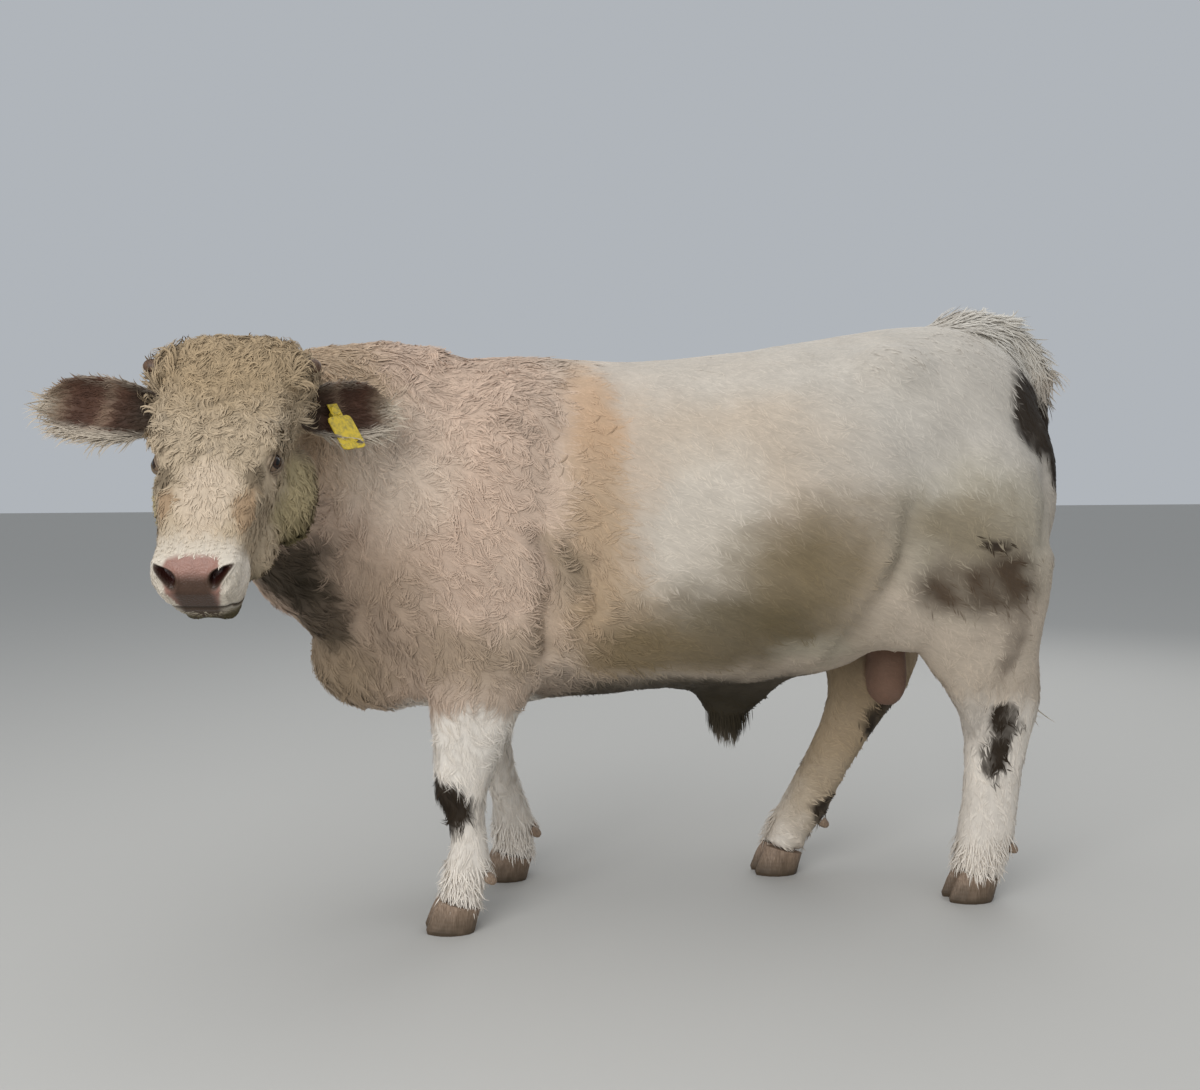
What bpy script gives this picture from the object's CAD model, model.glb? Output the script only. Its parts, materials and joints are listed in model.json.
import json
import math

import bmesh
import bpy
import numpy as np
from mathutils import Matrix, Vector
from mathutils.bvhtree import BVHTree
from mathutils.kdtree import KDTree

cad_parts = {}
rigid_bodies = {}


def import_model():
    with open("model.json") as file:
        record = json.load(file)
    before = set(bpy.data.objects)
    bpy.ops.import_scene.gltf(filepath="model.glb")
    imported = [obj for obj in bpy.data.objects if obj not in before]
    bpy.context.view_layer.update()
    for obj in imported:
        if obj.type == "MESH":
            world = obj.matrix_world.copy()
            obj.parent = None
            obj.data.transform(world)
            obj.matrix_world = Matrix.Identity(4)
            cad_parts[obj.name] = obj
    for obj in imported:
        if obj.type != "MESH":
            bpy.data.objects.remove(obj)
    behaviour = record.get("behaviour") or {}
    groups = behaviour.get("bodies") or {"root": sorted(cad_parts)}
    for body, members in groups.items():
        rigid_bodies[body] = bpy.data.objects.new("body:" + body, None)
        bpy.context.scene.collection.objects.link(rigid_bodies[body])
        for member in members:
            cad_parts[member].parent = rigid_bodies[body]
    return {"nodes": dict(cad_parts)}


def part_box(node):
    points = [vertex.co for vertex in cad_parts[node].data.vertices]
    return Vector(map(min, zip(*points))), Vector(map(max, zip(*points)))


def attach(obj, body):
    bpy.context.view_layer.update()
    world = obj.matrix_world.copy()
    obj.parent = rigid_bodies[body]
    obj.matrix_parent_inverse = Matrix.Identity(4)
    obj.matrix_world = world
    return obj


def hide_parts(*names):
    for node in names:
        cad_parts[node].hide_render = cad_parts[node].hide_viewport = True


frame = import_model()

# A fresh Blender opens with a cube, a light and a camera, which aren't the bull's
for thing in [o for o in bpy.data.objects if o.name in ("Cube", "Light", "Camera")]:
    bpy.data.objects.remove(thing)
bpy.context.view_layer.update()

# The head's own frame: s runs from the poll down the face, l to the head's left, d out of the forehead
headPlan = {"poll": (0.426, -0.417, 1.200), "turn": -9, "drop": 54}
up = Vector((0, 0, 1))
turnAngle = math.radians(headPlan["turn"])
dropAngle = math.radians(headPlan["drop"])
facing = Vector((math.cos(turnAngle), math.sin(turnAngle), 0))
headLeft = up.cross(facing)
faceLine = facing * math.cos(dropAngle) - up * math.sin(dropAngle)
faceOut = facing * math.sin(dropAngle) + up * math.cos(dropAngle)
headAxes = np.array([faceLine, headLeft, faceOut])
eyePlace = (0.213, 0.096, -0.006)


def headOffset(s, l, d):
    return faceLine * s + headLeft * l + faceOut * d


def headDirection(s, l, d):
    return headOffset(s, l, d).normalized()


def boxCentre(node):
    low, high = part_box(node)
    return (low + high) / 2


# The body's plan is kept in its own frame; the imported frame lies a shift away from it, read from the eye
poll = boxCentre("eye_left") - headOffset(*eyePlace)
shift = poll - Vector(headPlan["poll"])


def headPoint(s, l, d):
    return poll + headOffset(s, l, d)


def planOf(places):
    # Places in the body's own frame
    return np.asarray(places) - np.array(shift)


def toHead(places):
    # Places in s, l and d
    return (np.asarray(places) - np.array(poll)) @ headAxes.T


def sidePoint(place, side):
    # A place on the head's left (1) or right (-1)
    s, l, d = place
    return headPoint(s, side * l, d)


def mirrored(places, axis=0):
    # The same places, all on the positive side of the middle plane
    out = np.array(places)
    out[:, axis] = np.abs(out[:, axis])
    return out


def reachOf(places, middle, half):
    # Below 1 inside the ellipsoid of a middle and half sizes
    return np.linalg.norm((places - np.array(middle)) / half, axis=1)


def lineReach(places, line):
    # Distance from a line of points, and the line's direction there
    best = np.full(len(places), 9.0)
    way = np.zeros((len(places), 3))
    line = np.array(line)
    for a, b in zip(line, line[1:]):
        step = b - a
        t = np.clip((places - a) @ step / (step @ step), 0, 1)
        away = np.linalg.norm(places - a - t[:, None] * step, axis=1)
        way[away < best] = step / np.linalg.norm(step)
        best = np.minimum(best, away)
    return best, way


def link(shape, name):
    mesh = shape
    if isinstance(shape, bmesh.types.BMesh):
        mesh = bpy.data.meshes.new(name)
        shape.to_mesh(mesh)
        shape.free()
    made = bpy.data.objects.new(name, mesh)
    bpy.context.scene.collection.objects.link(made)
    return made


def bake(thing):
    # Puts the modifiers' result into the object's own mesh
    bpy.context.view_layer.update()
    mesh = bpy.data.meshes.new_from_object(thing.evaluated_get(bpy.context.evaluated_depsgraph_get()))
    thing.modifiers.clear()
    old = thing.data
    thing.data = mesh
    bpy.data.meshes.remove(old)
    return thing


def nodeCopy(names, name):
    # CAD nodes copied into one mesh, merged, and swelled across the thin gaps between them
    shape = bmesh.new()
    for node in names:
        part = bmesh.new()
        part.from_mesh(frame["nodes"][node].data)
        bmesh.ops.remove_doubles(part, verts=part.verts, dist=1e-5)
        bmesh.ops.recalc_face_normals(part, faces=part.faces)
        part.normal_update()
        for vert in part.verts:
            vert.co += vert.normal * 0.001
        grown = bpy.data.meshes.new("grown")
        part.to_mesh(grown)
        part.free()
        shape.from_mesh(grown)
        bpy.data.meshes.remove(grown)
    return link(shape, name)


def remeshed(thing, voxel, passes):
    grain = thing.modifiers.new("grain", "REMESH")
    grain.mode = "VOXEL"
    grain.voxel_size = voxel
    soften = thing.modifiers.new("soften", "SMOOTH")
    soften.factor = 0.5
    soften.iterations = passes
    return bake(thing)


def smoothRows(rows, steps):
    # Rows between the named ones, on a curve through every named row
    rows = np.array(rows, float)
    last = len(rows) - 1
    out = []
    for i in range(last):
        before, here, there, after = (rows[max(0, min(last, i + k))] for k in (-1, 0, 1, 2))
        for t in np.arange(steps) / steps:
            out.append(0.5 * (2 * here + (there - before) * t
                              + (2 * before - 5 * here + 4 * there - after) * t ** 2
                              + (3 * here - before - 3 * there + after) * t ** 3))
    out.append(rows[last])
    return out


def ringPoints(centre, side, rise, halfWidth, high, low, power=2.0, sides=28):
    ring = []
    for i in range(sides):
        angle = 2 * math.pi * i / sides
        across, upward = (math.copysign(abs(part) ** (2 / power), part)
                          for part in (math.cos(angle), math.sin(angle)))
        ring.append(centre + side * (halfWidth * across) + rise * ((high if upward > 0 else low) * upward))
    return ring


def loft(name, rings):
    # A closed form bridged through rings of equal count
    shape = bmesh.new()
    loops = []
    for ring in rings:
        verts = [shape.verts.new(p) for p in ring]
        loops.append([shape.edges.new((a, b)) for a, b in zip(verts, verts[1:] + verts[:1])])
    for low, high in zip(loops, loops[1:]):
        bmesh.ops.bridge_loops(shape, edges=low + high)
    bmesh.ops.contextual_create(shape, geom=loops[0])
    bmesh.ops.contextual_create(shape, geom=loops[-1])
    bmesh.ops.recalc_face_normals(shape, faces=shape.faces)
    return link(shape, name)


def pathLoft(name, centres, radii, rise):
    # A round form along a path
    rings = []
    side = None
    for i, (centre, radius) in enumerate(zip(centres, radii)):
        along = (centres[min(i + 1, len(centres) - 1)] - centres[max(i - 1, 0)]).normalized()
        side = (rise.cross(along) if side is None else side - along * side.dot(along)).normalized()
        rings.append(ringPoints(centre, side, along.cross(side), radius, radius, radius))
    return loft(name, rings)


def ellipsoid(name, centre, halfSizes, turn):
    shape = bmesh.new()
    bmesh.ops.create_uvsphere(shape, u_segments=24, v_segments=12, radius=1)
    place = Matrix.Translation(centre) @ turn.to_4x4() @ Matrix.Diagonal(Vector((*halfSizes, 1)))
    bmesh.ops.transform(shape, matrix=place, verts=shape.verts)
    return link(shape, name)


def frameOf(normal, along):
    # A turn whose Z is the normal and whose Y lies near the given direction
    normal = Vector(normal).normalized()
    side = Vector(along).cross(normal).normalized()
    return Matrix((side, normal.cross(side), normal)).transposed()


def joined(things, name):
    shape = bmesh.new()
    for thing in things:
        shape.from_mesh(thing.data)
        bpy.data.objects.remove(thing)
    return link(shape, name)


def column(items, key, wide, kind=np.float32):
    # One value of each item of a mesh, as rows of numbers
    flat = np.empty(len(items) * wide, kind)
    items.foreach_get(key, flat)
    return flat.reshape(-1, wide)


def points(thing):
    return column(thing.data.vertices, "co", 3).astype(float)


def setPoints(thing, places):
    thing.data.vertices.foreach_set("co", places.astype(np.float32).ravel())
    thing.data.update()


def normals(thing):
    return column(thing.data.vertex_normals, "vector", 3).astype(float)


def edgePairs(thing):
    return column(thing.data.edges, "vertices", 2, np.int32)


def relax(thing, weights, passes):
    # Draws each vertex to the middle of its neighbours, as far as its weight says
    places = points(thing)
    a, b = edgePairs(thing).T
    count = len(places)
    shared = np.maximum(np.bincount(a, minlength=count) + np.bincount(b, minlength=count), 1)[:, None]
    for _ in range(passes):
        total = np.stack([np.bincount(a, places[b, k], count) + np.bincount(b, places[a, k], count)
                          for k in range(3)], 1)
        places += (total / shared - places) * 0.5 * weights[:, None]
    setPoints(thing, places)


def ease(value, low, high):
    # 0 below low, 1 above high, smooth between
    t = np.clip((value - low) / (high - low), 0, 1)
    return t * t * (3 - 2 * t)


def cloud(places, size, seed=0):
    # Smooth noise from 0 to 1 whose lumps are about the given size
    grid = np.asarray(places) / size + 100 + seed * 17.3
    whole = np.floor(grid).astype(np.int64)
    part = grid - whole
    part = part * part * (3 - 2 * part)
    total = np.zeros(len(grid))
    for corner in range(8):
        step = np.array([corner & 1, corner >> 1 & 1, corner >> 2 & 1])
        cell = whole + step
        mixed = (cell[:, 0] * 73856093) ^ (cell[:, 1] * 19349663) ^ (cell[:, 2] * 83492791) ^ (seed * 2654435)
        mixed = (mixed ^ (mixed >> 13)) * 1274126177
        value = ((mixed ^ (mixed >> 16)) & 65535) / 65535
        total += value * np.prod(np.where(step, part, 1 - part), axis=1)
    return total


def stir(places, size, seed):
    # Three clouds as an offset, each from -0.5 to 0.5
    return np.stack([cloud(places, size, seed + k) - 0.5 for k in range(3)], 1)


def blend(here, there, share):
    return here + (there - here) * share[:, None]


def linear(code):
    # An sRGB hex value as linear red, green and blue
    parts = [int(code[i:i + 2], 16) / 255 for i in (1, 3, 5)]
    return np.array([c / 12.92 if c <= 0.04045 else ((c + 0.055) / 1.055) ** 2.4 for c in parts])


def blendTone(colour, share, tone):
    return blend(colour, linear(tone), share)


def paint(thing, colours):
    layer = thing.data.color_attributes.new("coatColour", "FLOAT_COLOR", "POINT")
    layer.data.foreach_set("color", np.c_[colours, np.ones(len(colours))].astype(np.float32).ravel())


# Rings of the skull: s, half width, and how far it reaches above and below the face line
headRings = [
    (-0.078, 0.07, 0.0, 0.1), (-0.052, 0.108, 0.036, 0.15), (0.01, 0.13, 0.058, 0.19),
    (0.1, 0.124, 0.06, 0.215), (0.2, 0.114, 0.05, 0.215), (0.27, 0.102, 0.042, 0.2),
    (0.335, 0.088, 0.036, 0.176), (0.39, 0.08, 0.035, 0.154), (0.43, 0.082, 0.036, 0.142),
    (0.462, 0.078, 0.02, 0.13), (0.486, 0.054, -0.004, 0.09),
]
# Masses on both sides of the head: place in s, l and d, and half sizes
headMasses = {
    "brow": ((0.176, 0.094, 0.026), (0.044, 0.03, 0.026)),
    "lowerLidBone": ((0.25, 0.082, -0.02), (0.05, 0.03, 0.028)),
    "cheek": ((0.185, 0.094, -0.145), (0.105, 0.06, 0.078)),
    "jawAngle": ((0.12, 0.088, -0.17), (0.07, 0.052, 0.055)),
    "jaw": ((0.29, 0.068, -0.102), (0.11, 0.038, 0.042)),
    "upperLip": ((0.425, 0.048, -0.034), (0.048, 0.038, 0.044)),
    "nostrilWing": ((0.446, 0.048, 0.008), (0.026, 0.03, 0.024)),
    "chin": ((0.44, 0.026, -0.112), (0.036, 0.03, 0.03)),
    "earRoot": ((0.09, 0.112, -0.034), (0.036, 0.03, 0.034)),
    "hornRoot": ((0.002, 0.1, -0.004), (0.03, 0.034, 0.03)),
    "pollWool": ((0.02, 0.104, -0.02), (0.07, 0.052, 0.06)),
}
# The lids' angles are degrees from the ball's middle; a fold is its height, place and width
eyePlan = {
    "radius": 0.0195, "corner": 68, "upper": 21, "lower": 25, "gap": 0.0008, "lid": 0.0028,
    "folds": ((-0.0016, 13, 3.0), (0.0014, 22, 5.0)), "bulge": 0.03, "pupil": (0.22, 0.44),
    "rings": (("rim", 0.62, 0.72), ("iris", 0.50, 0.62)),
}
eyeTones = {"white": "#6E5A48", "rim": "#140C08", "iris": "#2E1A0E", "pupil": "#060505"}
skinPlan = {
    "headVoxel": 0.0048, "headPasses": 20, "neckKept": 0.11, "bodyVoxel": 0.0135, "bodyPasses": 4,
    "clumpPasses": 40, "napePasses": 120, "seamPasses": 12, "lumpHigh": 0.004, "lumpWide": 0.07,
}
# How far the skin lies inside the solids' surface, in each place
depths = {
    "body": 0.006, "neck": 0.006, "legs": 0.003, "tail": 0.008, "underHead": 0.020,
    "face": 0.004, "nape": 0.006, "inNeck": 0.020,
}
cutPoint = headPoint(0.035, 0, -0.125)
cutNormal = (facing + up * 0.22).normalized()


def eyeCentre(side):
    return sidePoint(eyePlace, side)


def eyeTurn(side):
    # Columns: up across the lids, front corner, out of the eye
    turn = frameOf(headDirection(0.10, side * 0.80, 0.52), headDirection(1.0, 0, 0.12))
    across = turn.col[0] if turn.col[0].dot(up) > 0 else -turn.col[0]
    return np.array([across, turn.col[1], turn.col[2]])


def aheadOfCut(places):
    return (np.asarray(places) - np.array(cutPoint)) @ np.array(cutNormal)


def makeHeadSkin():
    shapes = [loft("skull", [
        ringPoints(headPoint(s, 0, 0), headLeft, faceOut, halfWidth, rise, drop, 2.3)
        for s, halfWidth, rise, drop in smoothRows(headRings, 5)])]
    turn = Matrix((faceLine, headLeft, faceOut)).transposed()
    for name, (place, halfSizes) in headMasses.items():
        for side in (1, -1):
            shapes.append(ellipsoid(name, sidePoint(place, side), halfSizes, turn))
    shapes.append(nodeCopy(["neck"], "neckEnd"))
    head = remeshed(joined(shapes, "headSkin"), skinPlan["headVoxel"], skinPlan["headPasses"])
    # Only the head and a short length of neck are kept
    shape = bmesh.new()
    shape.from_mesh(head.data)
    keep = cutPoint - cutNormal * skinPlan["neckKept"]
    bmesh.ops.bisect_plane(shape, geom=shape.verts[:] + shape.edges[:] + shape.faces[:], plane_co=keep,
                           plane_no=cutNormal, clear_inner=True)
    rim = [e for e in shape.edges if e.is_boundary]
    bmesh.ops.holes_fill(shape, edges=rim, sides=0)
    shape.to_mesh(head.data)
    shape.free()
    return head


def onLegs(plan):
    # 1 on the legs, 0 on the trunk
    return ease(0.60 - plan[:, 2], 0.0, 0.10) * ease(np.abs(plan[:, 0]), 0.07, 0.12)


def onNeck(plan):
    return 1 - ease(plan[:, 1] + 0.25 * (plan[:, 2] - 0.9), -0.10, 0.32)


def coatDepth(places):
    plan = planOf(places)
    depth = depths["body"] + depths["neck"] * onNeck(plan) - depths["legs"] * onLegs(plan)
    tail = ease(plan[:, 1], 1.36, 1.39) * ease(0.62 - plan[:, 2], 0, 0.05) * (np.abs(plan[:, 0]) < 0.06)
    return depth + depths["tail"] * tail


def inset(thing, deep):
    setPoints(thing, points(thing) - normals(thing) * deep[:, None])


def makeBodySkin():
    flesh = ["neck", "torso", "hindquarters", "tail_root", "tail", "tail_switch", "sheath", "scrotum"]
    for leg in ("foreleg_left", "foreleg_right", "hindleg_left", "hindleg_right"):
        flesh += [leg + "_upper", leg + "_lower"]
    body = remeshed(nodeCopy(flesh, "skin"), skinPlan["bodyVoxel"], skinPlan["bodyPasses"])
    plan = planOf(points(body))
    # The clumps of the crest and of the tail head are smoothed away
    crest = ease(plan[:, 2], 1.02, 1.10) * (1 - ease(plan[:, 1], -0.10, 0.0))
    fluff = ease(plan[:, 1], 1.16, 1.26) * ease(plan[:, 2], 1.20, 1.26)
    relax(body, np.clip(crest + fluff, 0, 1), skinPlan["clumpPasses"])
    places = points(body)
    inset(body, coatDepth(places) + depths["underHead"] * ease(aheadOfCut(places), -0.035, 0.0))
    return body, flesh


def keepLargest(shape):
    # Deletes the crumbs that the inset of thin tips leaves beside the one large surface
    left, largest = set(shape.verts), []
    while left:
        group = [left.pop()]
        for vert in group:
            for edge in vert.link_edges:
                other = edge.other_vert(vert)
                if other in left:
                    left.remove(other)
                    group.append(other)
        largest = max(largest, group, key=len)
    bmesh.ops.delete(shape, geom=list(set(shape.verts) - set(largest)), context="VERTS")


def mergeSkins(body, head):
    relax(head, ease(-aheadOfCut(points(head)), 0.0, 0.03), skinPlan["napePasses"])
    ahead = aheadOfCut(points(head))
    inset(head, depths["face"] + depths["nape"] * ease(-ahead, -0.03, 0.02)
          + depths["inNeck"] * ease(-ahead, 0.04, 0.09))
    fuse = body.modifiers.new("fuse", "BOOLEAN")
    fuse.object = head
    fuse.operation = "UNION"
    fuse.solver = "MANIFOLD"
    bake(body)
    bpy.data.objects.remove(head)
    shape = bmesh.new()
    shape.from_mesh(body.data)
    # Many-sided faces are split from a middle point, since their diagonals could meet on one edge
    bmesh.ops.poke(shape, faces=[f for f in shape.faces if len(f.verts) > 4])
    bmesh.ops.triangulate(shape, faces=shape.faces)
    keepLargest(shape)
    shape.to_mesh(body.data)
    shape.free()
    ahead = aheadOfCut(points(body))
    near = toHead(points(body))[:, 2] < 0.3
    relax(body, near * ease(ahead, -0.12, -0.05) * (1 - ease(ahead, 0.0, 0.03)), skinPlan["seamPasses"])
    return body


def refine(thing, centre, reach):
    # Splits the edges near a point in two
    shape = bmesh.new()
    shape.from_mesh(thing.data)
    middle = Vector(centre)
    edges = [e for e in shape.edges if ((e.verts[0].co + e.verts[1].co) / 2 - middle).length < reach]
    bmesh.ops.subdivide_edges(shape, edges=edges, cuts=1, use_grid_fill=True)
    bmesh.ops.triangulate(shape, faces=shape.faces)
    shape.to_mesh(thing.data)
    shape.free()


def sculptEye(places, side):
    # Lids as a shell over the eyeball, an almond opening between them and a fold above
    centre, turn = np.array(eyeCentre(side)), eyeTurn(side)
    local = (places - centre) @ turn.T
    radius = np.linalg.norm(local, axis=1)
    along = np.degrees(np.arctan2(local[:, 1], local[:, 2]))
    high = np.degrees(np.arcsin(np.clip(local[:, 0] / radius, -1, 1)))
    span = np.clip(1 - (along / eyePlan["corner"]) ** 2, 0, 1) ** 0.7
    outside = np.maximum(high - eyePlan["upper"] * span, -eyePlan["lower"] * span - high)
    outside = np.maximum(outside, np.abs(along) - eyePlan["corner"])
    ball = eyePlan["radius"]
    lid = ball + eyePlan["gap"] + eyePlan["lid"] * ease(outside, 0, 7)
    for rise, middle, wide in eyePlan["folds"]:
        lid += rise * np.exp(-((outside - middle) / wide) ** 2)
    target = lid + (np.maximum(radius, ball + 0.002) - lid) * ease(outside, 18, 48)
    target = np.where(outside < 0, np.minimum(radius, ball - 0.004), target)
    near = (local[:, 2] > -0.25 * radius) & (radius < 0.045)
    near = near * (1 - ease(radius, 0.032, 0.045)) * ease(local[:, 2] / radius, -0.1, 0.15)
    moved = radius + (target - radius) * near
    return centre + (local * (moved / radius)[:, None]) @ turn


nosePlan = {"place": (0.459, 0.046, 0.018), "half": (0.0085, 0.022), "bend": 0.16, "deep": 0.016,
            "rim": 0.0022, "near": 0.03}


def nostrilFrame(side):
    # Rows: across the slit, along it (outward and up), and out of it
    aim = frameOf(headDirection(0.55, side * 0.25, 0.45), headDirection(-0.5, side, 0.75))
    return np.array([aim.col[0] * side, aim.col[1], aim.col[2]])


def nostrilReach(places, side):
    # Below 1 inside the comma of a nostril, and whether a place is near its opening
    local = (places - np.array(sidePoint(nosePlan["place"], side))) @ nostrilFrame(side).T
    wide, long = nosePlan["half"]
    bend = nosePlan["bend"] * wide
    t = local[:, 1] / long
    x = local[:, 0] - bend * 4 * t * t + bend
    width = wide * (1.0 - 0.35 * np.clip(t, -1, 1))
    return np.hypot(x / width, t), np.abs(local[:, 2]) < nosePlan["near"]


def sculptNostril(places, side):
    reach, near = nostrilReach(places, side)
    hole = -nosePlan["deep"] * (1 - ease(reach, 0.45, 1.12)) * near
    rim = nosePlan["rim"] * np.exp(-((reach - 1.45) / 0.28) ** 2) * near
    return places + (hole + rim)[:, None] * nostrilFrame(side)[2]


def mouthDrop(s):
    # The d of the mouth line at each s
    t = np.clip((0.474 - s) / 0.118, 0, 1) ** (1 / 1.6)
    return -0.055 - 0.022 * np.sin(math.pi * np.minimum(1, t * 1.1)) - 0.006 * t


def mouthReach(h):
    # Metres from the mouth line, large where there is none
    away = np.abs(h[:, 2] - mouthDrop(h[:, 0]))
    return away + 0.05 * ease(0.362 - h[:, 0], 0, 0.02)


# Folds of the skin, on both sides: depth, width, then the line they run along
folds = {
    "elbow": (-0.02, 0.02, ((0.27, 0.175, 0.86), (0.28, 0.205, 0.78), (0.27, 0.195, 0.7), (0.25, 0.2, 0.62))),
    "elbowBack": (-0.014, 0.018, ((0.29, 0.235, 0.84), (0.29, 0.29, 0.77), (0.28, 0.3, 0.7))),
    "elbowRidge": (0.013, 0.016, ((0.29, 0.225, 0.8), (0.29, 0.235, 0.73), (0.27, 0.24, 0.66))),
    "upperArm": (0.007, 0.022, ((0.28, 0.145, 0.84), (0.29, 0.155, 0.76), (0.28, 0.15, 0.68))),
    "shoulderBlade": (-0.007, 0.035, ((0.16, 0.28, 1.18), (0.26, 0.23, 1.05), (0.29, 0.19, 0.92))),
    "flank": (-0.014, 0.028, ((0.24, 0.86, 0.64), (0.28, 0.93, 0.72), (0.3, 0.985, 0.82), (0.3, 1, 0.92))),
    "flankRidge": (0.009, 0.025, ((0.22, 0.8, 0.6), (0.27, 0.86, 0.7), (0.3, 0.93, 0.81))),
    "thigh": (-0.009, 0.03, ((0.22, 1.36, 1), (0.26, 1.31, 0.86), (0.26, 1.28, 0.72), (0.23, 1.27, 0.58))),
    "hook": (0.01, 0.04, ((0.22, 0.93, 1.22), (0.24, 0.98, 1.2), (0.23, 1.03, 1.19))),
    "throat": (-0.012, 0.022, ((0.25, -0.28, 0.92), (0.2, -0.31, 0.8), (0.12, -0.33, 0.7))),
    "throatFold": (0.008, 0.02, ((0.27, -0.22, 0.9), (0.22, -0.255, 0.78), (0.12, -0.29, 0.66))),
    "brisket": (-0.008, 0.018, ((0.18, -0.2, 0.72), (0.13, -0.24, 0.6), (0.08, -0.22, 0.5))),
    "knee": (0.004, 0.016, ((0.22, -0.02, 0.315), (0.19, -0.05, 0.31))),
    "hamstring": (-0.006, 0.018, ((0.22, 1.19, 0.52), (0.22, 1.225, 0.44), (0.215, 1.24, 0.36))),
}
creases = ("elbow", "elbowBack", "throat")  # folds that the dirt and shade in them darken


# Depth and width of the mouth line, depth and spacing of the wrinkles on the nose and under the eyes
facePlan = {"mouth": (0.0045, 0.0032), "nose": (0.0006, 0.0105), "underEye": (0.0013, 0.013)}
finer = {"muzzle": 0.085, "eye": (0.040, 0.028), "nostril": 0.032}  # reach of the finer mesh round each


def sculptBody(skin):
    places, outward = points(skin), normals(skin)
    plan = mirrored(planOf(places))
    move = np.zeros(len(plan))
    for deep, wide, line in folds.values():
        move += deep * np.exp(-(lineReach(plan, line)[0] / wide) ** 2)
    move += skinPlan["lumpHigh"] * (cloud(plan, skinPlan["lumpWide"], 50) - 0.5) * (1 + onNeck(plan))
    setPoints(skin, places + outward * (move * ease(-aheadOfCut(places), 0.0, 0.04))[:, None])


def wave(run, apart, power):
    # Ridges from 0 to 1 along a run
    return (0.5 + 0.5 * np.sin(run / apart * 2 * math.pi)) ** power


def sculptHead(skin):
    refine(skin, headPoint(0.440, 0, -0.03), finer["muzzle"])
    for side in (1, -1):
        for reach in finer["eye"]:
            refine(skin, eyeCentre(side), reach)
        refine(skin, sidePoint(nosePlan["place"], side), finer["nostril"])
    places = points(skin)
    h = toHead(places)
    s, l, d = h.T
    deep, wide = facePlan["mouth"]
    groove = -deep * np.exp(-(mouthReach(h) / wide) ** 2)
    deep, apart = facePlan["nose"]
    muzzleTop = ease(s, 0.36, 0.385) * (1 - ease(s, 0.42, 0.435)) * ease(d, 0.0, 0.02)
    groove += -deep * muzzleTop * wave(s + 0.35 * np.abs(l) + 0.010 * cloud(h, 0.03), apart, 3)
    deep, apart = facePlan["underEye"]
    underEye = ease(s, 0.235, 0.25) * (1 - ease(s, 0.29, 0.32)) * ease(np.abs(l), 0.05, 0.075)
    groove += -deep * underEye * wave(s + 0.4 * d, apart, 2)
    places = places + normals(skin) * (groove * (aheadOfCut(places) > 0.0))[:, None]
    for side in (1, -1):
        places = sculptEye(places, side)
        places = sculptNostril(places, side)
    setPoints(skin, places)


earPlan = {
    "length": 0.250, "width": 0.118, "thick": 0.0045, "ridge": 0.0040, "sag": 0.010, "dish": 0.014,
    "root": (0.085, 0.105, -0.035), "covered": (0.985, 0.97),
    "ear_right": (-1, (-0.16, -0.98, 0.03)), "ear_left": (1, (-0.55, 0.62, -0.56)),
}


def earFrame(name):
    # The ear's root, then its directions: along it, down across it and out of the cup
    side, axis = earPlan[name]
    along = headDirection(*axis)
    opening = facing + faceOut * 0.15 + headLeft * (side * 0.25)
    opening = (opening - along * opening.dot(along)).normalized()
    down = along.cross(opening)
    return sidePoint(earPlan["root"], side), along, (-down if down.z > 0 else down), opening


def earPoint(name, t, u):
    # The ear's middle surface: t from root to tip, u from the upper edge to the lower
    root, along, down, opening = earFrame(name)
    width = earPlan["width"] / 2 * (0.40 + 0.60 * math.sin(math.pi * min(1, t * 0.92) ** 1.05) ** 0.8)
    width *= math.sqrt(max(0.03, 1 - max(0, (t - 0.70) / 0.30) ** 2.2))
    curl = math.radians(58 + 66 * (1 - t) ** 4)
    radius = width / math.sin(min(curl, math.pi / 2))
    lift = radius * (1 - math.cos(u * curl))
    return (root + along * (t * earPlan["length"]) + down * (radius * math.sin(u * curl) + earPlan["sag"] * t)
            + opening * (lift - earPlan["dish"] * math.sin(math.pi * t)))


def makeEar(name):
    # A cupped shell with ridges of cartilage inside
    shape = bmesh.new()
    bmesh.ops.create_grid(shape, x_segments=44, y_segments=28, size=1)
    opening = earFrame(name)[3]
    for vert in shape.verts:
        t, u = (vert.co.x + 1) / 2 * earPlan["covered"][0], vert.co.y * earPlan["covered"][1]
        ridge = earPlan["ridge"] * math.sin(u * 10) ** 2 * math.sin(math.pi * min(1, t)) * (1 - abs(u))
        vert.co = earPoint(name, t, u) + opening * ridge
    ear = link(shape, "earLeftSkin" if name == "ear_left" else "earRightSkin")
    wall = ear.modifiers.new("wall", "SOLIDIFY")
    wall.thickness = earPlan["thick"]
    wall.offset = 0
    bake(ear)
    relax(ear, np.ones(len(ear.data.vertices)) * 0.6, 2)
    ear.data.shade_smooth()
    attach(ear, "root")
    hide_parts(name)
    return ear


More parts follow.
